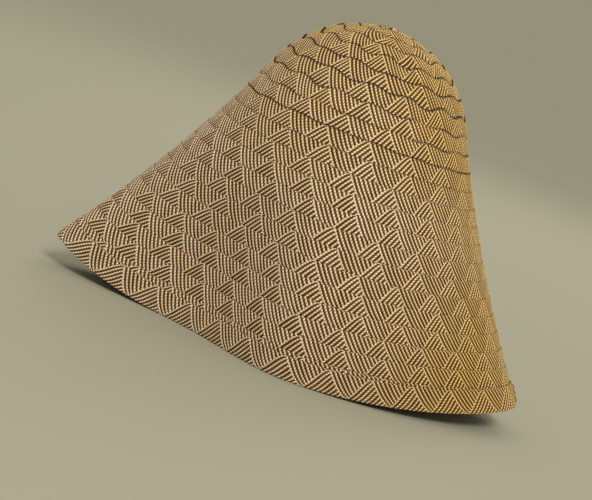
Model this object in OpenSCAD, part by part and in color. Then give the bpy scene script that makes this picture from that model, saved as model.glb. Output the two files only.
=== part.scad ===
// Straw hat with a domed, cone-shaped crown that runs into a deep, soft brim, pinched at the front.
// It is sewn from one long flat braid, plaited from light and dark straw, that spirals from tip to edge.
// Each turn of the braid laps over the outside of the turn above it; a ribbon band inside takes the head.
// Millimetres, +Z up the axis of the crown, sides of the brim edge on Z = 0, front at -X, back at +X.

/* [Crown] */
// Overall height, from the sides of the brim edge to the top of the tip button
hat_h = 288; // [275:1:300]
// Radius of the domed top of the crown, inside the braid
dome_r = 90; // [84:1:96]
// Lean of the crown wall from upright, in degrees
wall_lean = 27; // [22:1:30]
// Height above the sides of the brim edge at which the round crown wall runs into the soft brim
brim_h = 206; // [196:1:212]

/* [Soft brim] */
// Length of the brim edge, front to back, inside the braid
brim_l = 416; // [395:1:440]
// Width of the brim edge at its widest, side to side
brim_w = 234; // [220:1:255]
// Distance of the widest place of the brim behind the axis of the crown
widest_x = 18; // [0:1:40]
// Width that the brim keeps towards its pinched front
pinch_w = 88; // [70:1:130]
// Length over which the brim narrows towards the front
front_taper = 82; // [70:1:130]
// Length over which the brim narrows towards the back
back_taper = 320; // [240:1:360]
// Rise of the brim edge at the front and the back above its level sides
end_rise = 24; // [10:1:38]
// Distance of the lowest place of the brim edge in front of the axis of the crown
lowest_x = 52; // [30:1:70]
// Angle, at most, by which the pinch draws the rows of the brim towards the front, in degrees
gather = 8; // [0:1:24]

/* [Straw braid] */
// Width of the flat braid
braid_w = 21; // [19:0.5:24]
// Thickness of the braid
braid_t = 1.1; // [0.8:0.1:1.6]
// Width of each turn that the next turn leaves showing, about
row_step = 15; // [13:0.1:16.5]
// Clearance between a turn and the turn that it laps
lap_gap = 0.2; // [0.15:0.05:0.4]
// Straight facets in one turn of the braid
facets = 72; // [60:12:96]

/* [Tip button] */
// Radius of the hole that the first turn leaves at the tip
tip_hole_r = 6; // [4:0.5:9]
// Height of the button above the inside of the crown
button_h = 4.5; // [3.5:0.1:7]
// Clearance around the button
button_gap = 0.3; // [0.1:0.05:0.6]
// Width of the button's flange under the first turn
flange_w = 5; // [3:0.5:5.5]

/* [Sweatband] */
// Head size: circumference inside the ribbon
head_c = 570; // [540:1:610]
// Height of the ribbon
band_h = 25; // [15:1:32]
// Thickness of the ribbon
band_t = 1.2; // [0.6:0.1:2]
// Clearance between the top edge of the ribbon and the crown wall
band_gap = 0.3; // [0.1:0.05:0.6]

/* [Thread] */
// Diameter of the sewing thread
thread_d = 0.6; // [0.4:0.05:0.9]
// Length of one stitch that shows
stitch_l = 5; // [3:0.5:7]
// Distance from stitch to stitch along the ribbon
stitch_step = 12; // [9:0.5:20]
// Number of stitches that hold down the end of the braid
end_stitches_n = 3; // [2:1:3]
// Distance of those stitches from the cut end of the braid
end_margin = 2.5; // [1.5:0.5:6]

/* [Hidden] */
$fn = 96;
arc_points = 12;

// Profile of the inside of the crown: a dome arc and the crown wall, as radius and height
dome_z = hat_h - button_h - dome_r;
wall_top = [dome_r * cos(wall_lean), dome_z + dome_r * sin(wall_lean)];
wall_dir = [sin(wall_lean), -cos(wall_lean)];
wall_foot = [wall_top[0] + (wall_top[1] - brim_h) * tan(wall_lean), brim_h];
dome_len = dome_r * (90 - wall_lean) * PI / 180;
crown_len = dome_len + norm(wall_foot - wall_top);

// Brim: it leaves the crown along the wall's lean and bends to its edge; half of its length leads the bend
brim_len = norm([brim_l / 2, end_rise] - wall_foot);
brim_lead = wall_foot + wall_dir * brim_len / 2;
slant_len = crown_len + brim_len;
// Part of the way from the lowest place to either end over which the brim edge is level
level_part = 0.25;

// Turns of the braid: a gathered first turn, the lapped turns, and a level last turn along the brim edge
turns = 2 + round((slant_len - braid_w - tip_hole_r) / row_step);
pitch = (slant_len - braid_w - tip_hole_r) / (turns - 2);
lap = braid_w - pitch;
lap_rise = braid_t + lap_gap;
// Rise of the braid across its width that lifts it over the turn above, with room for the round of the dome
tilt = (lap_rise + lap * pitch / (2 * dome_r)) / pitch;

// Ribbon that hangs inside as a straight cylinder, sewn along its top edge where the crown wall reaches it
band_r = head_c / (2 * PI);
band_top = height_inside(band_r + band_t + band_gap);

function turn_name(k) = str("braid_turn_", k < 10 ? "0" : "", k);

// Angle from the axis of a point on the dome, s along the profile from the tip
function dome_angle(s) = s / dome_r * 180 / PI;

// Outward direction on the dome, as radius and height
function dome_out(s) = [sin(dome_angle(s)), cos(dome_angle(s))];

// Radius and height on the inside of the crown, s along it from the tip
function on_crown(s) =
    s < dome_len ? [0, dome_z] + dome_r * dome_out(s) :
    wall_top + (s - dome_len) * wall_dir;

// Height at which the inside of the crown wall has a given radius
function height_inside(r) = wall_top[1] - (r - wall_top[0]) / tan(wall_lean);

// Radius and height turned about the axis of the crown
function turned(p, a) = [p[0] * cos(a), p[0] * sin(a), p[1]];

// Angle around the brim edge that the rows reach at an angle a around the crown
function edge_angle(a) = a + gather * sin(2 * a) * (1 - cos(a)) / 2;

// Part of its full width that the brim keeps at an angle f around its edge
function narrowed(f) =
    let (
        x = brim_l / 2 * cos(f),
        far = (x - widest_x) / (x < widest_x ? front_taper : back_taper)
    )
    (pinch_w + (brim_w - pinch_w) * exp(-far * far)) / brim_w;

// Point of the brim edge: a long loop, narrow at the front and full behind, that rises at both ends
function brim_edge(f) =
    let (
        x = brim_l / 2 * cos(f),
        way = (x + lowest_x) / (brim_l / 2 + (x < -lowest_x ? -lowest_x : lowest_x)),
        rise = max(0, abs(way) - level_part) / (1 - level_part)
    )
    [x, brim_w / 2 * narrowed(f) * sin(f), end_rise * rise * rise];

// Lead of the brim, v of the way down it: round where it leaves the crown and pinched towards the edge
function lead_point(v, a) =
    let (f = edge_angle(a), r = brim_lead[0])
    (1 - v) * turned(brim_lead, a) + v * [r * cos(f), r * narrowed(f) * sin(f), brim_lead[1]];

// Point on the inside of the hat, s along it from the tip and a around it
function inside(s, a) =
    let (v = (s - crown_len) / brim_len)
    v < 0 ? turned(on_crown(s), a) :
    (1 - v) * (1 - v) * turned(wall_foot, a) + 2 * v * (1 - v) * lead_point(v, a)
        + v * v * brim_edge(edge_angle(a));

// Outward direction of that surface: square to a short step down it and a short step around it
function out_of(s, a) =
    let (
        step = 0.02,
        down = inside(s + step, a) - inside(s - step, a),
        around = inside(s, a + step) - inside(s, a - step)
    )
    unit(cross(down, around));

function unit(v) = v / norm(v);

// Upper and lower edge of the braid along the profile, t turns from the start
function upper_edge(t) = tip_hole_r + pitch * max(0, min(t, turns - 1) - 1);
function lower_edge(t) = tip_hole_r + lap + pitch * min(t, turns - 1);

// Part of the last turn that is laid, from 0 at its start to 1 at the end of the braid
function last_part(t) = max(0, t - (turns - 1));

// Point slid along a direction down to a height
function slid_to(p, dir, z) = p + dir * (z - p[2]) / dir[2];

// Cross-section of the braid t turns from the start: inner upper, outer upper, outer lower, inner lower.
// The last turn is trimmed to the height of the brim edge.
function braid_section(t, trimmed) =
    let (
        a = 360 * t,
        u = upper_edge(t),
        b = lower_edge(t),
        low = tilt * pitch * last_part(t),
        high = low + tilt * (b - u),
        inner_up = inside(u, a) + high * out_of(u, a),
        inner_low = inside(b, a) + low * out_of(b, a),
        dir = unit(inner_low - inner_up),
        out = out_of((u + b) / 2, a),
        wall = braid_t * unit(out - dir * (out * dir)),
        edge_z = brim_edge(edge_angle(a))[2]
    )
    [
        inner_up,
        inner_up + wall,
        trimmed ? slid_to(inner_low + wall, dir, edge_z) : inner_low + wall,
        trimmed ? slid_to(inner_low, dir, edge_z) : inner_low
    ];

// Four-sided strip swept through its cross-sections, as triangles that face outwards
module swept_strip(sections) {
    last = len(sections) - 1;
    sides = [
        for (i = [0 : last - 1], j = [0 : 3])
            let (a = 4 * i + j, b = 4 * i + (j + 1) % 4, c = a + 4, d = b + 4)
            each j == 3 ? [[a, b, c], [b, d, c]] : [[a, b, d], [a, d, c]]
    ];
    start = [[0, 2, 1], [0, 3, 2]];
    end = [[4 * last, 4 * last + 1, 4 * last + 2], [4 * last, 4 * last + 2, 4 * last + 3]];
    polyhedron(points = [for (s = sections) each s], faces = concat(start, sides, end));
}

// One turn of the straw braid, from the back of the hat round to the back again
module braid_turn(k) {
    color(k % 2 == 0 ? "#b08c58" : "#9c7848")
        swept_strip([for (i = [0 : facets]) braid_section(k - 1 + i / facets, k == turns)]);
}

// Start of the braid coiled into a button, with a flange that sits under the first turn
module tip_button() {
    boss_r = tip_hole_r - button_gap;
    flange_s = tip_hole_r + flange_w;
    top_z = dome_z + dome_r;
    shoulder_h = button_h / 2;
    dome_edge = [
        for (i = [0 : arc_points])
            let (a = 90 * i / arc_points)
            [boss_r * sin(a), top_z + shoulder_h + (button_h - shoulder_h) * cos(a)]
    ];
    flange_top = [
        for (i = [0 : arc_points])
            let (s = boss_r + (flange_s - boss_r) * i / arc_points)
            on_crown(s) - lap_gap * dome_out(s)
    ];
    flange_under = [
        for (i = [0 : arc_points])
            let (s = flange_s * (1 - i / arc_points))
            on_crown(s) - (lap_gap + braid_t) * dome_out(s)
    ];
    color("#a07c48")
        rotate_extrude()
            polygon(concat(dome_edge, flange_top, flange_under));
}

// Ribbon that rests on the head
module sweatband() {
    color("#4a3626")
        translate([0, 0, band_top - band_h])
            difference() {
                cylinder(h = band_h, r = band_r + band_t);
                translate([0, 0, -1])
                    cylinder(h = band_h + 2, r = band_r);
            }
}

// Running stitches along the top edge of the ribbon
module sweatband_stitches() {
    count = round(head_c / stitch_step);
    color("#2e2218")
        for (i = [0 : count - 1])
            rotate([0, 0, 360 * i / count])
                translate([band_r + band_t / 2, 0, band_top + thread_d / 2])
                    rotate([90, 0, 0])
                        cylinder(h = stitch_l, d = thread_d, center = true, $fn = 24);
}

// Stitches across the outside of the last turn, beside the cut end of the braid
module braid_end_stitches() {
    section = braid_section(turns, true);
    along = section[1] - section[2];
    across = section[2] - section[3];
    seat = thread_d / 2 * unit(across - along * (across * along) / (along * along));
    lean = atan2(along[0], along[2]);
    color("#2e2218")
        for (i = [1 : end_stitches_n])
            let (p = section[2] + along * i / (end_stitches_n + 1) + seat)
            translate([p[0], -end_margin, p[2]])
                rotate([0, lean, 0])
                    cylinder(h = stitch_l, d = thread_d, center = true, $fn = 24);
}

tip_button();
for (k = [1 : turns])
    braid_turn(k);
sweatband();
sweatband_stitches();
braid_end_stitches();
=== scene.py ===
"""Straw hat, dressed: every turn of the braid is plaited from light and dark straws.

The braid is a spiral strip on a domed crown that runs into a soft brim, pinched at the front. A point
of it is given by t, the turns from the start, by its place across the braid, from 0 at the lower edge
to 1 at the upper edge, and by its height above the braid's inner face. Each straw runs in a zigzag
between the two edges, on the front of the braid at first and then under the other straws.
Metres, +Z up the axis of the crown, front of the hat at -X, back at +X.
"""
import math

import bpy
import mathutils
import numpy as np
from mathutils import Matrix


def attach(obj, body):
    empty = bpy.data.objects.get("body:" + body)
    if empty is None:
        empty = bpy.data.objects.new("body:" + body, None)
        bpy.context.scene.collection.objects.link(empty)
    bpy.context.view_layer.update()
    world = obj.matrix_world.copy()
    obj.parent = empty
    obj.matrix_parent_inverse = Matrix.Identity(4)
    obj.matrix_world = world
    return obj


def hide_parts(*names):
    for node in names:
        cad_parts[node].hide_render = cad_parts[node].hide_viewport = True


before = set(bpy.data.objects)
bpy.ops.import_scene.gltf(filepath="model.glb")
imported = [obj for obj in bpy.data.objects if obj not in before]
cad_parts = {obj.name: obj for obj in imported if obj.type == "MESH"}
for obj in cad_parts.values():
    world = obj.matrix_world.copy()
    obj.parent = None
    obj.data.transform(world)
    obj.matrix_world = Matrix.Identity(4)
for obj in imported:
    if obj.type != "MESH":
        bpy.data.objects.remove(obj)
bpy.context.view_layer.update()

MM = 0.001
FULL_TURN = 2 * math.pi

# Hat shape: the driving sizes of the solids
HAT_H = 288 * MM
DOME_R = 90 * MM
WALL_LEAN = math.radians(27)
BRIM_H = 206 * MM
BRIM_L = 416 * MM
BRIM_W = 234 * MM
WIDEST_X = 18 * MM
PINCH_W = 88 * MM
FRONT_TAPER = 82 * MM
BACK_TAPER = 320 * MM
END_RISE = 24 * MM
LOWEST_X = 52 * MM
LEVEL_PART = 0.25
GATHER = math.radians(8)
BUTTON_H = 4.5 * MM
TIP_HOLE_R = 6 * MM
BRAID_W = 21 * MM
BRAID_T = 1.1 * MM
TURNS = sum(name.startswith("braid_turn_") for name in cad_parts)

# Sewn rows: how far a row stands off the row above, and how far it swells between its seams
LAP_RISE = 1.05 * BRAID_T
CROWN_SWELL = 1.2 * MM
BRIM_SWELL = 0.25 * MM

# Crown rows: sewn tight as far as SEWN_TO from the tip, less and less over the last SEWN_FADE of it. Their
# seams waver by two waves, counted in a turn, after the first firm turns, and are scalloped, with a crest
# at SCALLOP_AT in each repeat of the plait.
SEWN_TO = 170 * MM
SEWN_FADE = 60 * MM
WAVER = 1.0 * MM
SLOW_WAVE = 8.37
QUICK_WAVE = 13.19
QUICK_SHARE = 0.7
FIRM_TURNS = 1.5
SCALLOP = 1.6 * MM
SCALLOP_AT = 0.2

# Plait: one repeat along the braid, shorter at the tip, and the part of a repeat by which a turn is more
# than a whole number of them, counted on the near side, at -Y. On the rows that jump, that part is less.
REPEAT = 36.9 * MM
TIP_REPEAT = 31.0 * MM
ROW_SHIFT = 0.79
ROW_JUMP = 0.45
NEAR_SIDE = 0.75

# Straws: their count, the part of a repeat in which one runs up, and how its runs bend and sway
STRAWS = 18
UP_PART = 0.50
BOW_UP = 1.0
BOW_DOWN = 0.20
SLOW_RISE = 1.45
SLOW_FALL = 1.8
SWAY = 0.008
PHASE = np.arange(STRAWS) / STRAWS

# Straw sizes: width as a share of the room beside it, heights in the braid, parts of a run spent on going
# under and on bending round an edge, margin at the braid's edges as a part of its width, rings of a run,
# sides of a ring, and the length in which a straw twists once
LIGHT_W = 1.02
DARK_W = 0.98
UNEVEN = 0.05
LEAST_ROOM = 0.7 * MM
END_ROOM = 1.5 * MM
MOST_ROOM = 2.0 * MM
STRAW_T = 0.64 * MM
FRONT_H = 0.70 * BRAID_T
BACK_H = 0.30 * BRAID_T
DARK_SINK = 0.03 * BRAID_T
DIVE = 0.10
BEND = 0.05
EDGE_INSET = 0.03
RINGS = 10
SIDES = 6
TWIST_L = 2.5 * MM

# Sweatband and thread
BAND_R = 570 * MM / FULL_TURN
BAND_H = 25 * MM
BAND_T = 1.2 * MM
BAND_GAP = 0.3 * MM
BAND_LAP = 14 * MM
BAND_STITCHES = 48
RIB_STEP = 1.2 * MM
WEAVE_STEP = 0.45 * MM
THREAD_W = 0.6 * MM
STITCH_HALF = 2.5 * MM

# Profile of the inside of the crown, and the way from it to the brim edge
DOME_Z = HAT_H - BUTTON_H - DOME_R
WALL_TOP = np.array([DOME_R * math.cos(WALL_LEAN), DOME_Z + DOME_R * math.sin(WALL_LEAN)])
WALL_DIR = np.array([math.sin(WALL_LEAN), -math.cos(WALL_LEAN)])
WALL_FOOT = np.array([WALL_TOP[0] + (WALL_TOP[1] - BRIM_H) * math.tan(WALL_LEAN), BRIM_H])
DOME_LEN = DOME_R * (math.pi / 2 - WALL_LEAN)
CROWN_LEN = DOME_LEN + float(np.linalg.norm(WALL_FOOT - WALL_TOP))
BRIM_LEN = float(np.linalg.norm(np.array([BRIM_L / 2, END_RISE]) - WALL_FOOT))
BRIM_LEAD = WALL_FOOT + WALL_DIR * BRIM_LEN / 2
PITCH = (CROWN_LEN + BRIM_LEN - BRAID_W - TIP_HOLE_R) / (TURNS - 2)
LAP = BRAID_W - PITCH
DOME_SAG = LAP * PITCH / (2 * DOME_R)
BAND_TOP = WALL_TOP[1] - (BAND_R + BAND_T + BAND_GAP - WALL_TOP[0]) / math.tan(WALL_LEAN)


def unit(v):
    """Vectors at length one."""
    return v / np.maximum(np.linalg.norm(v, axis=-1, keepdims=True), 1e-12)


def eased(x):
    """From 0 to 1 with a soft start and end: x * x * (3 - 2 * x), with x kept between 0 and 1."""
    x = np.clip(x, 0, 1)
    return x * x * (3 - 2 * x)


def turned(radius, height, a):
    """Radius and height turned about the axis of the crown."""
    return np.stack(np.broadcast_arrays(radius * np.cos(a), radius * np.sin(a), height), -1)


def edge_angle(a):
    """Angle around the brim edge that the rows reach: the pinch draws them to the front by up to GATHER."""
    return a + GATHER * np.sin(2 * a) * (1 - np.cos(a)) / 2


def narrowed(f):
    """Part of its full width that the brim keeps at an angle f: a bell curve from its widest place."""
    x = BRIM_L / 2 * np.cos(f)
    far = (x - WIDEST_X) / np.where(x < WIDEST_X, FRONT_TAPER, BACK_TAPER)
    return (PINCH_W + (BRIM_W - PINCH_W) * np.exp(-far * far)) / BRIM_W


def brim_edge(a):
    """Brim edge below the angle a: a long loop, narrow in front and full behind, that rises at both ends.

    The rise grows as the square of the way past the level sides.
    """
    f = edge_angle(a)
    x = BRIM_L / 2 * np.cos(f)
    way = (x + LOWEST_X) / (BRIM_L / 2 + np.where(x < -LOWEST_X, -LOWEST_X, LOWEST_X))
    rise = np.maximum(0, np.abs(way) - LEVEL_PART) / (1 - LEVEL_PART)
    return np.stack([x, BRIM_W / 2 * narrowed(f) * np.sin(f), END_RISE * rise * rise], -1)


def inside(s, a):
    """Point on the inside of the hat, s along it from the tip and a around it.

    A dome arc and a straight wall turned about the axis, then a curve from the wall's foot to the brim
    edge. The lead that it follows is round where it leaves the wall and pinched towards the edge.
    """
    s, a = np.broadcast_arrays(s, a)
    angle = np.minimum(s, DOME_LEN) / DOME_R
    past = np.maximum(s - DOME_LEN, 0)
    radius = DOME_R * np.sin(angle) + past * WALL_DIR[0]
    height = DOME_Z + DOME_R * np.cos(angle) + past * WALL_DIR[1]
    v = np.maximum(s - CROWN_LEN, 0)[..., None] / BRIM_LEN
    foot = turned(*WALL_FOOT, a)
    f = edge_angle(a)
    pinched = turned(*BRIM_LEAD, f) * np.stack([np.ones_like(f), narrowed(f), np.ones_like(f)], -1)
    lead = (1 - v) * turned(*BRIM_LEAD, a) + v * pinched
    brim = (1 - v) ** 2 * foot + 2 * v * (1 - v) * lead + v * v * brim_edge(a)
    return np.where(v > 0, brim, turned(radius, height, a))


def out_of(s, a):
    """Outward direction of that surface: square to a short step down it and a short step around it."""
    step = 0.02 * MM
    angle = 0.0004
    down = inside(s + step, a) - inside(s - step, a)
    around = inside(s, a + angle) - inside(s, a - angle)
    return unit(np.cross(down, around))


def crown_share(t):
    """1 on the tightly sewn crown and 0 on the brim, with a straight change between them."""
    return np.clip((SEWN_TO - TIP_HOLE_R - PITCH * t) / SEWN_FADE, 0, 1)


def braid_section(t):
    """Inner lower corner, inner upper corner and outward direction of the braid's cross-section.

    The upper edge stays at the tip for the first turn, goes down one pitch a turn, and stays level on
    the last turn, which climbs by its own thickness onto its own start. On the crown both edges waver
    a little, as rows sewn by hand do. The upper edge is lifted over the turn above, a little more on the
    dome, and the last turn is slid down to the brim edge.
    """
    a = FULL_TURN * t
    upper = TIP_HOLE_R + PITCH * np.maximum(0, np.minimum(t, TURNS - 1) - 1)
    lower = TIP_HOLE_R + LAP + PITCH * np.minimum(t, TURNS - 1)
    loose = WAVER * crown_share(t) * np.clip(t - FIRM_TURNS, 0, 1)
    waver = loose * (np.sin(FULL_TURN * SLOW_WAVE * t) + QUICK_SHARE * np.sin(FULL_TURN * QUICK_WAVE * t))
    upper = upper + waver
    lower = lower + waver
    on_dome = np.clip(1 + (DOME_LEN - upper) / BRAID_W, 0, 1)
    tilt = (LAP_RISE + DOME_SAG * on_dome) / PITCH
    low = tilt * PITCH * np.maximum(0, t - (TURNS - 1))
    high = low + tilt * (lower - upper)
    up = inside(upper, a) + high[..., None] * out_of(upper, a)
    down = inside(lower, a) + low[..., None] * out_of(lower, a)
    along = unit(up - down)
    slide = np.where(t > TURNS - 1, (down[..., 2] - brim_edge(a)[..., 2]) / along[..., 2], 0)
    down = down - slide[..., None] * along
    out = out_of((upper + lower) / 2, a)
    return down, up, unit(out - along * np.sum(out * along, -1, keepdims=True))


def path_length(centre):
    """Length along each path up to each of its points, added up over the steps between them."""
    step = np.linalg.norm(np.diff(centre, axis=-2), axis=-1)
    return np.concatenate([np.zeros_like(step[..., :1]), np.cumsum(step, -1)], -1)


def braid_tables():
    """Turns, length along the braid's middle and repeats of the plait, at each degree of the spiral.

    The repeat grows from TIP_REPEAT to REPEAT, 3 rows ahead of the end of the crown's tight sewing. It is
    stretched a little in each turn, so that a turn has a whole number of them and a part of one. The part
    is ROW_SHIFT on most rows, so that the plait steps on evenly from row to row, and ROW_JUMP less on those
    where a sine of the row's number is high. Turns of up to 4 repeats aren't stretched.
    """
    turns = np.linspace(0, TURNS, TURNS * 360 + 1)
    down, up, _ = braid_section(turns)
    lengths = path_length((down + up) / 2)
    marks = np.interp(np.arange(TURNS) + NEAR_SIDE, turns, lengths)
    row = np.arange(1, TURNS)
    natural = np.diff(marks) / (REPEAT + (TIP_REPEAT - REPEAT) * crown_share(row + 3))
    shift = ROW_SHIFT - ROW_JUMP * (np.sin(2.4 * row) > 0.3)
    counts = np.where(natural > 4, np.round(natural - shift) + shift, natural)
    at_marks = marks[0] / TIP_REPEAT + np.concatenate([[0], np.cumsum(counts)])
    at_end = at_marks[-1] + (lengths[-1] - marks[-1]) / REPEAT
    repeats = np.interp(lengths, [0, *marks, lengths[-1]], [0, *at_marks, at_end])
    return turns, lengths, repeats


TURN_TABLE, LENGTH_TABLE, REPEAT_TABLE = braid_tables()
ALL_REPEATS = float(REPEAT_TABLE[-1])


def turns_at(repeats):
    """Turns from the start at a count of repeats of the plait along the braid."""
    return np.interp(repeats, REPEAT_TABLE, TURN_TABLE)


def repeats_at(turns):
    """Repeats of the plait along the braid at a count of turns from the start."""
    return np.interp(turns, TURN_TABLE, REPEAT_TABLE)


def on_braid(t, across, height):
    """Point of the braid and its outward direction, from turns, place across and height above its inside.

    Between its seams the braid swells by an arch, higher on the crown than on the brim. On the crown its
    upper edge is scalloped: it rises and falls as a cosine, once in each repeat of the plait.
    """
    down, up, out = braid_section(t)
    scallop = SCALLOP * crown_share(t) * np.cos(FULL_TURN * (repeats_at(t) - SCALLOP_AT))
    swell = BRIM_SWELL + (CROWN_SWELL - BRIM_SWELL) * crown_share(t)
    rise = height + swell * 4 * across * (1 - across)
    way = across * (1 + scallop / BRAID_W)
    return down + way[..., None] * (up - down) + rise[..., None] * out, out


def put_mesh(name, points, quads, caps=None, uvs=None, values=None):
    """Mesh object at the origin from arrays: quads and equal-sided caps, UV maps and point attributes."""
    caps = np.zeros((0, 3), int) if caps is None else caps
    mesh = bpy.data.meshes.new(name)
    loops = np.concatenate([quads.ravel(), caps.ravel()])
    sizes = np.concatenate([np.full(len(quads), 4), np.full(len(caps), caps.shape[1])])
    mesh.vertices.add(len(points))
    mesh.vertices.foreach_set("co", points.astype(np.float32).ravel())
    mesh.loops.add(len(loops))
    mesh.loops.foreach_set("vertex_index", loops.astype(np.int32))
    mesh.polygons.add(len(sizes))
    mesh.polygons.foreach_set("loop_start", np.concatenate([[0], np.cumsum(sizes)[:-1]]).astype(np.int32))
    mesh.polygons.foreach_set("use_smooth", np.ones(len(sizes), bool))
    for map_name, coords in (uvs or {}).items():
        layer = mesh.uv_layers.new(name=map_name)
        layer.data.foreach_set("uv", coords.astype(np.float32).ravel())
    for value_name, numbers in (values or {}).items():
        layer = mesh.attributes.new(value_name, "FLOAT", "POINT")
        layer.data.foreach_set("value", numbers.astype(np.float32).ravel())
    mesh.update(calc_edges=True)
    mesh.validate()
    obj = bpy.data.objects.new(name, mesh)
    bpy.context.collection.objects.link(obj)
    return obj


def tube_rings(centre, normal, width, thick, sides):
    """Rings of an oval tube: centre + side * width/2 * cos + lift * thick/2 * sin, round each centre.

    The last but one axis of centre runs along the tube; side is square to the path and the surface.
    """
    path = unit(np.gradient(centre, axis=-2))
    side = unit(np.cross(path, normal))
    lift = np.cross(side, path)
    turn = FULL_TURN * np.arange(sides) / sides
    across = side[..., None, :] * np.cos(turn)[:, None] * (width / 2)[..., None, None]
    above = lift[..., None, :] * np.sin(turn)[:, None] * (thick / 2)[..., None, None]
    return centre[..., None, :] + across + above


def tube_faces(tubes, rings, sides):
    """Quads of many tubes with the same count of rings, in the order tube, ring, side, and their end caps."""
    tube, ring, side = np.meshgrid(np.arange(tubes), np.arange(rings - 1), np.arange(sides), indexing="ij")
    first = (tube * rings + ring) * sides
    following = (side + 1) % sides
    quads = np.stack([first + side, first + following, first + sides + following, first + sides + side], -1)
    around = np.arange(sides)
    start = np.arange(tubes)[:, None] * rings * sides + around[::-1]
    end = (np.arange(tubes)[:, None] * rings + rings - 1) * sides + around
    return quads, np.concatenate([start, end])


def quad_uv(along, around):
    """UV places of the corners of a tube's quads: along at their two rings and around at their two sides."""
    u = np.stack([along[..., :-1], along[..., :-1], along[..., 1:], along[..., 1:]], -1)
    v = np.stack([around[:-1], around[1:], around[1:], around[:-1]], -1)
    return np.stack(np.broadcast_arrays(u[..., None, :], v), -1)


def with_caps(quad_places, caps):
    """UV map of a mesh with the places of its quads, and all corners of its caps at the map's corner."""
    return np.concatenate([quad_places.reshape(-1, 2), np.zeros((caps.size, 2))])


def put_tubes(name, centre, normal, width, sides):
    """Round tubes along the paths in centre, all with the same count of points, closed at both ends."""
    size = np.full(centre.shape[:-1], width)
    points = tube_rings(centre, normal, size, size, sides)
    quads, caps = tube_faces(centre.shape[0], centre.shape[1], sides)
    return put_mesh(name, points.reshape(-1, 3), quads.reshape(-1, 4), caps)


def rising(q):
    """Way across the braid after a part q of a run up: slow off the lower edge, then steep, then flatter.

    A power p of q, bowed by BOW_UP times p times the rest of the way.
    """
    p = q ** SLOW_RISE
    return p + BOW_UP * p * (1 - p)


def falling(q):
    """Way across the braid after a part q of a run down: steep at first, then slow to the lower edge.

    A power p of the rest of the run, bowed by BOW_DOWN times p times the way already gone.
    """
    p = (1 - q) ** SLOW_FALL
    return p + BOW_DOWN * p * (1 - p)


def ring_places(part, run, next_run):
    """Where the straws of a run go under, and the places of their rings, as parts of the run.

    The run takes a part of the repeat. A straw goes under where it meets the first straw of the next
    run, which comes back the other way. Its rings lie at the edge, on the way to the dive, through the
    dive, and on the way from it to the other edge.
    """
    q = np.linspace(0, 1, 401)
    order = slice(None) if next_run is rising else slice(None, None, -1)
    covered = part * (1 - q) + (1 - part) * np.interp(run(q), next_run(q)[order], q[order])
    dive_at = np.interp(PHASE, covered[::-1], q[::-1])
    dive = np.clip(dive_at, 0.2, 0.8)[:, None]
    before = BEND + (dive - DIVE / 2 - BEND) * np.array([0, 1 / 4, 1 / 2, 3 / 4])
    at = dive + DIVE / 2 * np.array([-1, 0, 1])
    after = (1 - BEND) + (dive + DIVE / 2 - (1 - BEND)) * np.array([1 / 2, 0])
    return dive_at, np.concatenate([np.zeros((STRAWS, 1)), before, at, after], 1)


UP_DIVE, UP_PLACES = ring_places(UP_PART, rising, falling)
DOWN_DIVE, DOWN_PLACES = ring_places(1 - UP_PART, falling, rising)


def zigzag(first_run, runs):
    """Rings of the straws over some runs: part of the run, repeats along, place across, and height.

    Along a run, the straw's place across is rising(q), or falling(q) on the way down, with a slow sway.
    Its height is on the front until it meets the next run, where it goes under, and it comes round the
    edge to the front again.
    """
    ring = np.arange(runs * RINGS + 1)
    run = first_run + ring // RINGS
    straw = np.arange(STRAWS)[:, None]
    going_up = run % 2 == 0
    q = np.where(going_up, UP_PLACES[:, ring % RINGS], DOWN_PLACES[:, ring % RINGS])
    dive_at = np.where(going_up, UP_DIVE[:, None], DOWN_DIVE[:, None])
    way = np.where(going_up, rising(q), falling(q))
    in_repeat = np.where(going_up, UP_PART * q, UP_PART + (1 - UP_PART) * q)
    repeats = run // 2 - 0.5 + in_repeat + PHASE[:, None]
    under = eased((q - dive_at) / DIVE + 0.5)
    height = FRONT_H + (BACK_H - FRONT_H) * under
    height = np.where(ring % RINGS == 0, (FRONT_H + BACK_H) / 2, height)
    height = height - DARK_SINK * (straw % 2)
    sway = SWAY * np.sin(FULL_TURN * repeats * 2.3 + 2.4 * straw)
    across = EDGE_INSET + (1 - 2 * EDGE_INSET) * way + sway * way * (1 - way)
    return q, repeats, across, height


def straw_width(centre, repeats, across, height):
    """Width of the straws at their rings: a share of the room beside each, a little uneven along it.

    The room is the distance to the same place on the next straw, square to the straw's own path.
    """
    straw = np.arange(STRAWS)[:, None]
    beside = on_braid(turns_at(repeats + 1 / STRAWS), across, height)[0] - centre
    room = np.linalg.norm(np.cross(unit(np.gradient(centre, axis=1)), beside), axis=-1)
    between_ends = (repeats > 0) & (repeats < ALL_REPEATS - 0.1)
    room = np.clip(np.where(between_ends, room, END_ROOM), LEAST_ROOM, MOST_ROOM)
    uneven = 1 + UNEVEN * np.sin(FULL_TURN * repeats * 1.7 + 1.7 * straw)
    return room * np.where(straw % 2 == 1, DARK_W, LIGHT_W) * uneven


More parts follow.
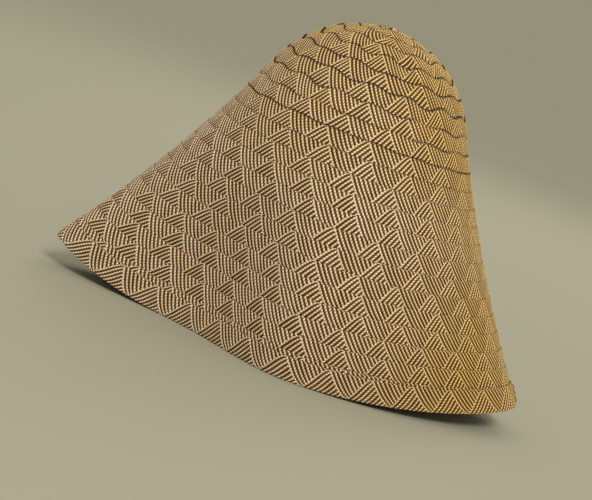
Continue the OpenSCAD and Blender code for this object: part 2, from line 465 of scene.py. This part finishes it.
def bake_places(q, runs):
    """UV places of the quads for the bake: a sheet of equal long cells, one for each run of each straw."""
    cell_shape = 7
    end_margin = 0.04
    side_margin = 0.12
    columns = max(1, round(math.sqrt(STRAWS * runs / cell_shape)))
    rows = math.ceil(STRAWS * runs / columns)
    ring = np.arange(runs * RINGS)
    cell = np.arange(STRAWS)[:, None] * runs + ring // RINGS
    q_end = np.where((ring + 1) % RINGS == 0, 1, q[:, 1:])
    along = np.stack([q[:, :-1], q[:, :-1], q_end, q_end], -1)
    side = np.arange(SIDES)
    around = np.stack([side, side + 1, side + 1, side], -1) / SIDES
    u = ((cell % columns)[:, :, None] + end_margin + (1 - 2 * end_margin) * along) / columns
    v = ((cell // columns)[:, :, None, None] + side_margin + (1 - 2 * side_margin) * around) / rows
    return np.stack(np.broadcast_arrays(u[:, :, None, :], v), -1)


def straw_ends(laid):
    """Caps that close each straw at the first and the last of its rings that are laid."""
    first = np.argmax(laid, 1)
    last = laid.shape[1] - 1 - np.argmax(laid[:, ::-1], 1)
    base = np.arange(STRAWS) * laid.shape[1]
    side = np.arange(SIDES)
    start = ((base + first) * SIDES)[:, None] + side[::-1]
    end = ((base + last) * SIDES)[:, None] + side
    return np.concatenate([start, end])


def braid_turn(k, first_run, last_run):
    """One turn of the braid: STRAWS tubes that zigzag from edge to edge, light and dark in turn.

    Only the rings between the two ends of the braid are laid. Each point carries its straw's tone, a
    shade that changes from run to run, and the groove, which grows to 1 at the upper seam where shade is
    painted.
    """
    # Place across where the painted shade of the seam's groove begins, and the width over which it grows to
    # full
    groove_from = 0.90
    groove_w = 0.07
    runs = last_run - first_run
    straw = np.arange(STRAWS)[:, None]
    q, repeats, across, height = zigzag(first_run, runs)
    centre, normal = on_braid(turns_at(repeats), across, height)
    width = straw_width(centre, repeats, across, height)
    points = tube_rings(centre, normal, width, np.full(width.shape, STRAW_T), SIDES)

    laid = (repeats >= 0) & (repeats <= ALL_REPEATS)
    keep = laid[:, :-1] & laid[:, 1:]
    quads = tube_faces(STRAWS, laid.shape[1], SIDES)[0][keep].reshape(-1, 4)
    caps = straw_ends(laid)
    straw_places = quad_uv(path_length(centre), np.arange(SIDES + 1) / SIDES)
    uvs = {
        "Straw": with_caps(straw_places[keep], caps),
        "OFBake": with_caps(bake_places(q, runs)[keep], caps),
    }

    values = {
        "tone": np.broadcast_to(straw % 2, laid.shape),
        "shade": 0.5 + 0.5 * np.sin(12.9 * (straw + 1) + 3.1 * np.floor(repeats * 2) + 78.2 * k),
        "groove": np.clip((across - groove_from) / groove_w, 0, 1),
    }
    used, order = np.unique(np.concatenate([quads.ravel(), caps.ravel()]), return_inverse=True)
    values = {name: np.repeat(numbers.ravel(), SIDES)[used] for name, numbers in values.items()}
    caps = order[quads.size:].reshape(caps.shape)
    quads = order[:quads.size].reshape(quads.shape)
    return put_mesh(f"plaited_turn_{k:02d}", points.reshape(-1, 3)[used], quads, caps, uvs, values)


def row_stitches(name, turns, across, height, step, length, thick):
    """Stitches along a seam: short tubes, a step apart, that dip into the braid at both ends.

    A seam above the braid's inner face dips inwards, and a seam on that face dips outwards.
    """
    start, end = np.interp(turns, TURN_TABLE, LENGTH_TABLE)
    x = np.arange(start, end - step, step)[:, None] + length * np.array([0, 0.5, 1.0])
    dip = np.array([-0.6, 0.15, -0.6]) * thick
    sign = 1 if height > 0 else -1
    t = np.interp(x, LENGTH_TABLE, TURN_TABLE)
    centre, normal = on_braid(t, np.full(x.shape, across), height + sign * dip + 0 * x)
    return put_tubes(name, centre, normal, thick, 4)


def coiled_tip():
    """Start of the braid coiled flat: a spiral tube that winds out over the button and under the first turn.

    Its radius grows by a step a turn, so that its straws lie close. Its height falls as a quarter circle
    over the button, and past the button's rim it follows the inside of the dome. Its tone changes at each
    dash of its length.
    """
    straw_w = 2.0 * MM
    straw_t = 1.5 * MM
    start_r = 0.9 * MM
    step = 1.9 * MM
    boss_r = TIP_HOLE_R - 0.3 * MM
    rim_h = 1.4 * MM
    top_h = BUTTON_H - 1.0 * MM
    rim_r = 4.6 * MM
    rim_w = 1.4 * MM
    sink = 0.9 * MM
    dash = 3.4 * MM
    sides = 10
    wound = np.linspace(0, 5.2, 240)
    radius = start_r + step * wound
    boss = np.clip(radius / boss_r, 0, 1)
    over = DOME_R + rim_h + (top_h - rim_h) * np.sqrt(1 - boss * boss)
    under = np.sqrt(DOME_R ** 2 - radius ** 2) - sink
    past_rim = eased((radius - rim_r) / rim_w)
    height = DOME_Z + (1 - past_rim) * over + past_rim * under
    centre = turned(radius, height, FULL_TURN * wound)[None]
    normal = np.broadcast_to(np.array([0, 0, 1.0]), centre.shape)
    size = np.ones(centre.shape[:-1])
    points = tube_rings(centre, normal, straw_w * size, straw_t * size, sides)
    quads, caps = tube_faces(1, len(wound), sides)
    length = path_length(centre)
    uvs = {"Straw": with_caps(quad_uv(length, np.arange(sides + 1) / sides), caps)}
    tone = np.repeat(np.floor(length / dash) % 2, sides)
    values = {"tone": tone, "shade": np.full(tone.shape, 0.4), "groove": np.zeros(tone.shape)}
    return put_mesh("coiled_tip", points.reshape(-1, 3), quads.reshape(-1, 4), caps, uvs, values)


def ribbon():
    """Grosgrain ribbon ring: a thin loop of cross-section, run a little over once round, ribbed throughout.

    The radius swells with each rib and wavers slowly, and the end lies over the start at the back.
    """
    thin_edge = 0.35
    ease = 0.06 * MM
    valley = 0.62
    lap = BAND_LAP / BAND_R
    turn = np.linspace(-lap, FULL_TURN, 4 * round((FULL_TURN + lap) * BAND_R / RIB_STEP) + 1)
    rib = np.abs(np.sin(FULL_TURN / 2 * turn * BAND_R / RIB_STEP))
    tall = np.linspace(0, 1, 9)
    face = np.concatenate([tall, tall[::-1]])
    outward = np.repeat([1.0, -1.0], len(tall))
    edge = np.where((face == 0) | (face == 1), thin_edge, 1.0)
    over = np.clip((turn - FULL_TURN + 2 * lap) / lap, 0, 1)
    middle = BAND_R + BAND_T / 4 + over * BAND_T / 2 + ease * np.sin(9 * turn) * (1 - over)
    swell = BAND_T / 4 * (valley + (1 - valley) * rib)
    radius = middle[:, None] + outward * edge * swell[:, None]
    height = BAND_TOP - BAND_H + BAND_H * face + 0 * radius
    points = turned(radius, height, turn[:, None])
    quads, caps = tube_faces(1, *radius.shape)
    places = quad_uv(turn * BAND_R, np.concatenate([face, face[:1]]) * BAND_H)
    uvs = {"Ribbon": with_caps(places, caps)}
    return put_mesh("ribbon_sweatband", points.reshape(-1, 3), quads.reshape(-1, 4), caps, uvs)


def ribbon_stitches():
    """Running stitches along the ribbon's top edge: short arcs that dip into the ribbon at both ends."""
    q = np.linspace(-1, 1, 9)
    a = FULL_TURN * np.arange(BAND_STITCHES)[:, None] / BAND_STITCHES + q * STITCH_HALF / BAND_R
    proud = 0.25 * MM
    dip = 0.55 * MM
    height = BAND_TOP + proud - dip * q ** 4
    centre = turned(BAND_R + BAND_T / 2 + 0 * a, height + 0 * a, a)
    return put_tubes("ribbon_thread", centre, turned(np.ones_like(a), 0 * a, a), THREAD_W, 8)


def end_stitches():
    """Three stitches up the outside of the last turn, beside the cut end, that dip into it at both ends."""
    q = np.linspace(-1, 1, 9)
    across = 0.25 * np.arange(1, 4)[:, None] + q * STITCH_HALF / BRAID_W
    proud = 0.30 * MM
    dip = 0.6 * MM
    before_end = 0.0019
    t = np.full(across.shape, TURNS - before_end)
    centre, normal = on_braid(t, across, BRAID_T + proud - dip * q ** 4 + 0 * across)
    return put_tubes("end_thread", centre, normal, THREAD_W, 8)


def srgb(red, green, blue):
    """Colour given as 0 to 255 screen values, as the linear colour that a shader takes."""
    c = np.array([red, green, blue]) / 255
    linear = np.where(c <= 0.04045, c / 12.92, ((c + 0.055) / 1.055) ** 2.4)
    return (*linear.tolist(), 1.0)


# Colours
# Pale and golden straw: partly the straw's own tones, partly painted light, a painted sheen on the front and
# warmer grazing light on the crown and back
PALE_STRAW = srgb(255, 234, 206)
GOLDEN_STRAW = srgb(238, 198, 110)
AGED_STRAW = srgb(224, 186, 124)
BROWN_STRAW = srgb(104, 68, 18)
DEEP_BROWN_STRAW = srgb(82, 51, 10)
DARK_THREAD = srgb(34, 20, 10)
BROWN_THREAD = srgb(60, 38, 22)
DARK_RIBBON = srgb(70, 48, 33)
BROWN_RIBBON = srgb(92, 66, 46)


def material(name):
    """New node material with its Principled shader."""
    m = bpy.data.materials.new(name)
    m.use_nodes = True
    return m, m.node_tree, m.node_tree.nodes["Principled BSDF"]


def node(tree, kind, settings=None, **inputs):
    """Shader node with its settings and its inputs, by name or as i and a number: a value or an output."""
    n = tree.nodes.new(kind)
    for key, value in (settings or {}).items():
        setattr(n, key, value)
    for key, value in inputs.items():
        socket = n.inputs[int(key[1:])] if key[0] == "i" and key[1:].isdigit() else n.inputs[key]
        if isinstance(value, bpy.types.NodeSocket):
            tree.links.new(value, socket)
        else:
            socket.default_value = value
    return n


def point_value(tree, name):
    """Output with a value that the points of a piece carry."""
    return node(tree, "ShaderNodeAttribute", {"attribute_name": name}).outputs["Fac"]


def math_node(tree, operation, *values, clamp=False):
    """Output of a Math node on up to three values or outputs."""
    inputs = {f"i{i}": v for i, v in enumerate(values)}
    return node(tree, "ShaderNodeMath", {"operation": operation, "use_clamp": clamp}, **inputs).outputs[0]


def mixed(tree, factor, first, second, blend="MIX"):
    """Colour between two colours or outputs."""
    settings = {"data_type": "RGBA", "blend_type": blend}
    return node(tree, "ShaderNodeMix", settings, i0=factor, i6=first, i7=second).outputs[2]


def times(tree, colour, factor):
    """Colour made lighter or darker by a factor."""
    grey = node(tree, "ShaderNodeCombineColor", i0=factor, i1=factor, i2=factor).outputs[0]
    return mixed(tree, 1.0, colour, grey, "MULTIPLY")


def straw_material():
    """Two-tone straw: light and dark straws by their tone, twisted, with fibre streaks, and painted shade and
    highlight along the beads of the twist.

    The light straws are pale on the front and sides of the brim and more golden on the crown and the back.
    This is partly their own tone and partly painted light: a pale painted sheen where the light falls on the
    front, and warmer grazing light painted in as gold on the crown and back.
    In the groove of the upper seam the straw is darkened by painted shade, most of all on the crown.
    """
    m, tree, shader = material("two_tone_straw")
    tone = point_value(tree, "tone")
    shade = point_value(tree, "shade")
    place = node(tree, "ShaderNodeTexCoord").outputs["Object"]
    at = node(tree, "ShaderNodeSeparateXYZ", Vector=place)
    patch = node(tree, "ShaderNodeTexNoise", Vector=place, Scale=11.0, Detail=3.0).outputs[0]

    # Fibre streaks along the straw, and a bead each time its twist comes round
    uv = node(tree, "ShaderNodeUVMap", {"uv_map": "Straw"}).outputs[0]
    fibre_place = node(tree, "ShaderNodeMapping", Vector=uv, Scale=(220.0, 9.0, 1.0)).outputs[0]
    fibre = node(tree, "ShaderNodeTexNoise", Vector=fibre_place, Scale=1.0, Detail=4.0).outputs[0]
    split = node(tree, "ShaderNodeSeparateXYZ", Vector=uv)
    twist = math_node(tree, "MULTIPLY", split.outputs[0], FULL_TURN / TWIST_L)
    twist = math_node(tree, "MULTIPLY_ADD", split.outputs[1], FULL_TURN, twist)
    bead = math_node(tree, "MULTIPLY_ADD", math_node(tree, "SINE", twist), 0.5, 0.5)

    # Golden behind, where x is more than the distance to the side, and aloft on the crown: partly the straw's
    # own tone and partly painted light, with the gold for warmer grazing light and the pale front for painted
    # sheen
    behind = math_node(tree, "SUBTRACT", at.outputs[0], math_node(tree, "ABSOLUTE", at.outputs[1]))
    behind = math_node(tree, "MULTIPLY_ADD", behind, 6.0, 0.5, clamp=True)
    aloft = math_node(tree, "MULTIPLY_ADD", at.outputs[2], 6.0, -0.85, clamp=True)
    golden_place = math_node(tree, "ADD", behind, aloft, clamp=True)
    golden = math_node(tree, "MULTIPLY_ADD", golden_place, 0.75, -0.15)
    golden = math_node(tree, "MULTIPLY_ADD", patch, 0.5, golden, clamp=True)

    # Light and dark straws, each with its own shade, and with painted shade in the grooves of the twist and
    # painted highlight on its beads
    light = mixed(tree, golden, PALE_STRAW, GOLDEN_STRAW)
    light = mixed(tree, math_node(tree, "MULTIPLY", shade, 0.45), light, AGED_STRAW)
    dark = mixed(tree, shade, BROWN_STRAW, DEEP_BROWN_STRAW)
    light = times(tree, light, math_node(tree, "MULTIPLY_ADD", bead, 0.74, 0.48))
    dark = times(tree, dark, math_node(tree, "MULTIPLY_ADD", bead, 0.80, 0.65))
    colour = mixed(tree, tone, light, dark)
    colour = times(tree, colour, math_node(tree, "MULTIPLY_ADD", fibre, 0.5, 0.74))

    # Painted shade in the groove of the seam, deepest on the crown
    on_crown = math_node(tree, "MULTIPLY_ADD", at.outputs[2], 17.0, -2.6, clamp=True)
    seam_shade_depth = math_node(tree, "MULTIPLY_ADD", on_crown, 0.65, 0.08)
    seam = math_node(tree, "MULTIPLY", point_value(tree, "groove"), seam_shade_depth)
    colour = times(tree, colour, math_node(tree, "SUBTRACT", 1.0, seam))

    tree.links.new(colour, shader.inputs["Base Color"])
    tree.links.new(math_node(tree, "MULTIPLY_ADD", fibre, 0.25, 0.50), shader.inputs["Roughness"])
    shader.inputs["Specular IOR Level"].default_value = 0.12
    relief = math_node(tree, "MULTIPLY_ADD", fibre, 0.35, bead)
    bump = node(tree, "ShaderNodeBump", Strength=0.6, Distance=0.15 * MM, Height=relief)
    tree.links.new(bump.outputs[0], shader.inputs["Normal"])
    return m


def thread_material():
    """Dark brown sewing thread with a soft uneven dye."""
    m, tree, shader = material("brown_thread")
    place = node(tree, "ShaderNodeTexCoord").outputs["Object"]
    dye = node(tree, "ShaderNodeTexNoise", Vector=place, Scale=900.0, Detail=2.0).outputs[0]
    tree.links.new(mixed(tree, dye, DARK_THREAD, BROWN_THREAD), shader.inputs["Base Color"])
    shader.inputs["Roughness"].default_value = 0.9
    shader.inputs["Specular IOR Level"].default_value = 0.15
    return m


def ribbon_material():
    """Dark brown grosgrain: fine weave across each rib, painted shade between the ribs, and a soft sheen."""
    m, tree, shader = material("brown_grosgrain")
    uv = node(tree, "ShaderNodeUVMap", {"uv_map": "Ribbon"}).outputs[0]
    split = node(tree, "ShaderNodeSeparateXYZ", Vector=uv)
    rib = math_node(tree, "SINE", math_node(tree, "MULTIPLY", split.outputs[0], FULL_TURN / 2 / RIB_STEP))
    rib = math_node(tree, "ABSOLUTE", rib)
    weave = math_node(tree, "SINE", math_node(tree, "MULTIPLY", split.outputs[1], FULL_TURN / WEAVE_STEP))
    place = node(tree, "ShaderNodeTexCoord").outputs["Object"]
    dye = node(tree, "ShaderNodeTexNoise", Vector=place, Scale=60.0, Detail=4.0).outputs[0]
    colour = mixed(tree, dye, DARK_RIBBON, BROWN_RIBBON)
    # Painted shade between the ribs
    colour = times(tree, colour, math_node(tree, "MULTIPLY_ADD", rib, 0.45, 0.6))
    tree.links.new(colour, shader.inputs["Base Color"])
    shader.inputs["Roughness"].default_value = 0.7
    shader.inputs["Sheen Weight"].default_value = 0.25
    relief = math_node(tree, "MULTIPLY_ADD", weave, 0.2, rib)
    bump = node(tree, "ShaderNodeBump", Strength=0.5, Distance=0.12 * MM, Height=relief)
    tree.links.new(bump.outputs[0], shader.inputs["Normal"])
    return m


def finish_piece(piece, look, slot, *nodes):
    """Give a piece its material and body, and hide the solids that it stands for. The slot is not used."""
    piece.data.materials.append(look)
    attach(piece, "root")
    if nodes:
        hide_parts(*nodes)
    return piece


STRAW = straw_material()
THREAD = thread_material()
RIBBON = ribbon_material()

# Braid: each turn has the whole repeats that are nearest to it, and the first and last have one to spare
run_marks = 2 * np.round(repeats_at(np.arange(TURNS + 1))).astype(int)
run_marks[0] = -2
run_marks[-1] += 2
for k in range(1, TURNS + 1):
    finish_piece(braid_turn(k, run_marks[k - 1], run_marks[k]), STRAW, "straw", f"braid_turn_{k:02d}")
finish_piece(coiled_tip(), STRAW, "straw", "tip_button")

# Seams: first and last turn, place across, height, and the step, length and thickness of their stitches
SEAMS = {
    "row_stitches_crown": ((1, 10), 1.0, 0.50 * BRAID_T, 2.25 * MM, 1.7 * MM, 0.95 * MM),
    "row_stitches_brim": ((10, TURNS), 1.0, 0.20 * BRAID_T, 5.5 * MM, 1.8 * MM, 0.45 * MM),
    "row_stitches_inside": ((1, TURNS - 1), 0.14, 0, 7.0 * MM, 4.0 * MM, 0.55 * MM),
}
for name, seam in SEAMS.items():
    finish_piece(row_stitches(name, *seam), THREAD, "thread")

# Sweatband, its stitches and those at the braid's end
band = finish_piece(ribbon(), RIBBON, "ribbon", "sweatband")
finish_piece(ribbon_stitches(), THREAD, "thread", "sweatband_stitches")
finish_piece(end_stitches(), THREAD, "thread", "braid_end_stitches")


def camera_at(place, target, lean, lens):
    """Camera at a place that looks at its target, turned anticlockwise from level by lean."""
    back = unit(np.array(place) - np.array(target))
    level = unit(np.cross([0, 0, 1.0], back))
    upright = np.cross(back, level)
    turn = np.eye(4)
    turn[:3, 0] = math.cos(lean) * level + math.sin(lean) * upright
    turn[:3, 1] = math.cos(lean) * upright - math.sin(lean) * level
    turn[:3, 2] = back
    turn[:3, 3] = place
    data = bpy.data.cameras.new("camera")
    data.lens = lens
    camera = bpy.data.objects.new("camera", data)
    camera.matrix_world = mathutils.Matrix(turn.tolist())
    bpy.context.collection.objects.link(camera)
    bpy.context.scene.camera = camera


def lamp(name, kind, place, softness, power, colour):
    """Lamp turned to the middle of the hat; its softness is an area lamp's size or a sun's angle."""
    data = bpy.data.lights.new(name, kind)
    setattr(data, "angle" if kind == "SUN" else "size", softness)
    data.energy = power
    data.color = colour
    obj = bpy.data.objects.new(name, data)
    obj.location = place
    aim = mathutils.Vector(HAT_MIDDLE) - mathutils.Vector(place)
    obj.rotation_euler = aim.to_track_quat("-Z", "Y").to_euler()
    bpy.context.collection.objects.link(obj)


# Stage: a leaning camera, a lamp and a sun from the same place, a lamp behind, an even sky and a wide floor
HAT_MIDDLE = (0, 0, 0.12)
KEY_PLACE = (0.7, -2.25, 2.1)
KEY_COLOUR = (1.0, 0.97, 0.92)
SUN_POWER = 0.85
SKY = np.array(srgb(255, 253, 248)) * 0.55
FLOOR = np.array(srgb(172, 169, 147))
FLOOR_HALF = 60.0

camera_at(place=(0, -1.4900, 0.3070), target=(-0.0126, -0.0058, 0.0844), lean=math.radians(20.36), lens=107.6)
lamp("key", "AREA", KEY_PLACE, 0.9, 27, KEY_COLOUR)
lamp("key_far", "SUN", KEY_PLACE, math.radians(16), SUN_POWER, KEY_COLOUR)
lamp("back", "AREA", (0.6, 2.0, 1.8), 1.2, 12, (1.0, 0.97, 0.93))

# World: the sky lights the hat, and the view past the floor's edge has the floor's colour under sky and sun
world = bpy.data.worlds.new("studio")
bpy.context.scene.world = world
world.use_nodes = True
sky = world.node_tree.nodes["Background"]
sky.inputs["Color"].default_value = (*SKY[:3], 1)
sun_height = unit(np.array(KEY_PLACE) - HAT_MIDDLE)[2]
sun_on_floor = SUN_POWER * sun_height / math.pi * np.array([*KEY_COLOUR, 1])
beyond = node(world.node_tree, "ShaderNodeBackground", Color=(*((SKY + sun_on_floor) * FLOOR)[:3], 1))
seen = node(world.node_tree, "ShaderNodeLightPath").outputs["Is Camera Ray"]
shown = node(world.node_tree, "ShaderNodeMixShader", i0=seen, i1=sky.outputs[0], i2=beyond.outputs[0])
world.node_tree.links.new(shown.outputs[0], world.node_tree.nodes["World Output"].inputs["Surface"])

floor_corners = np.array([[-1, -1, 0], [1, -1, 0], [1, 1, 0], [-1, 1, 0]]) * FLOOR_HALF
floor = put_mesh("studio_floor", floor_corners, np.array([[0, 1, 2, 3]]))
floor_look, _, floor_shader = material("pale_floor")
floor_shader.inputs["Base Color"].default_value = (*FLOOR[:3], 1)
floor_shader.inputs["Roughness"].default_value = 1.0
floor_shader.inputs["Specular IOR Level"].default_value = 0.0
floor.data.materials.append(floor_look)

bpy.context.scene.view_settings.view_transform = "Standard"
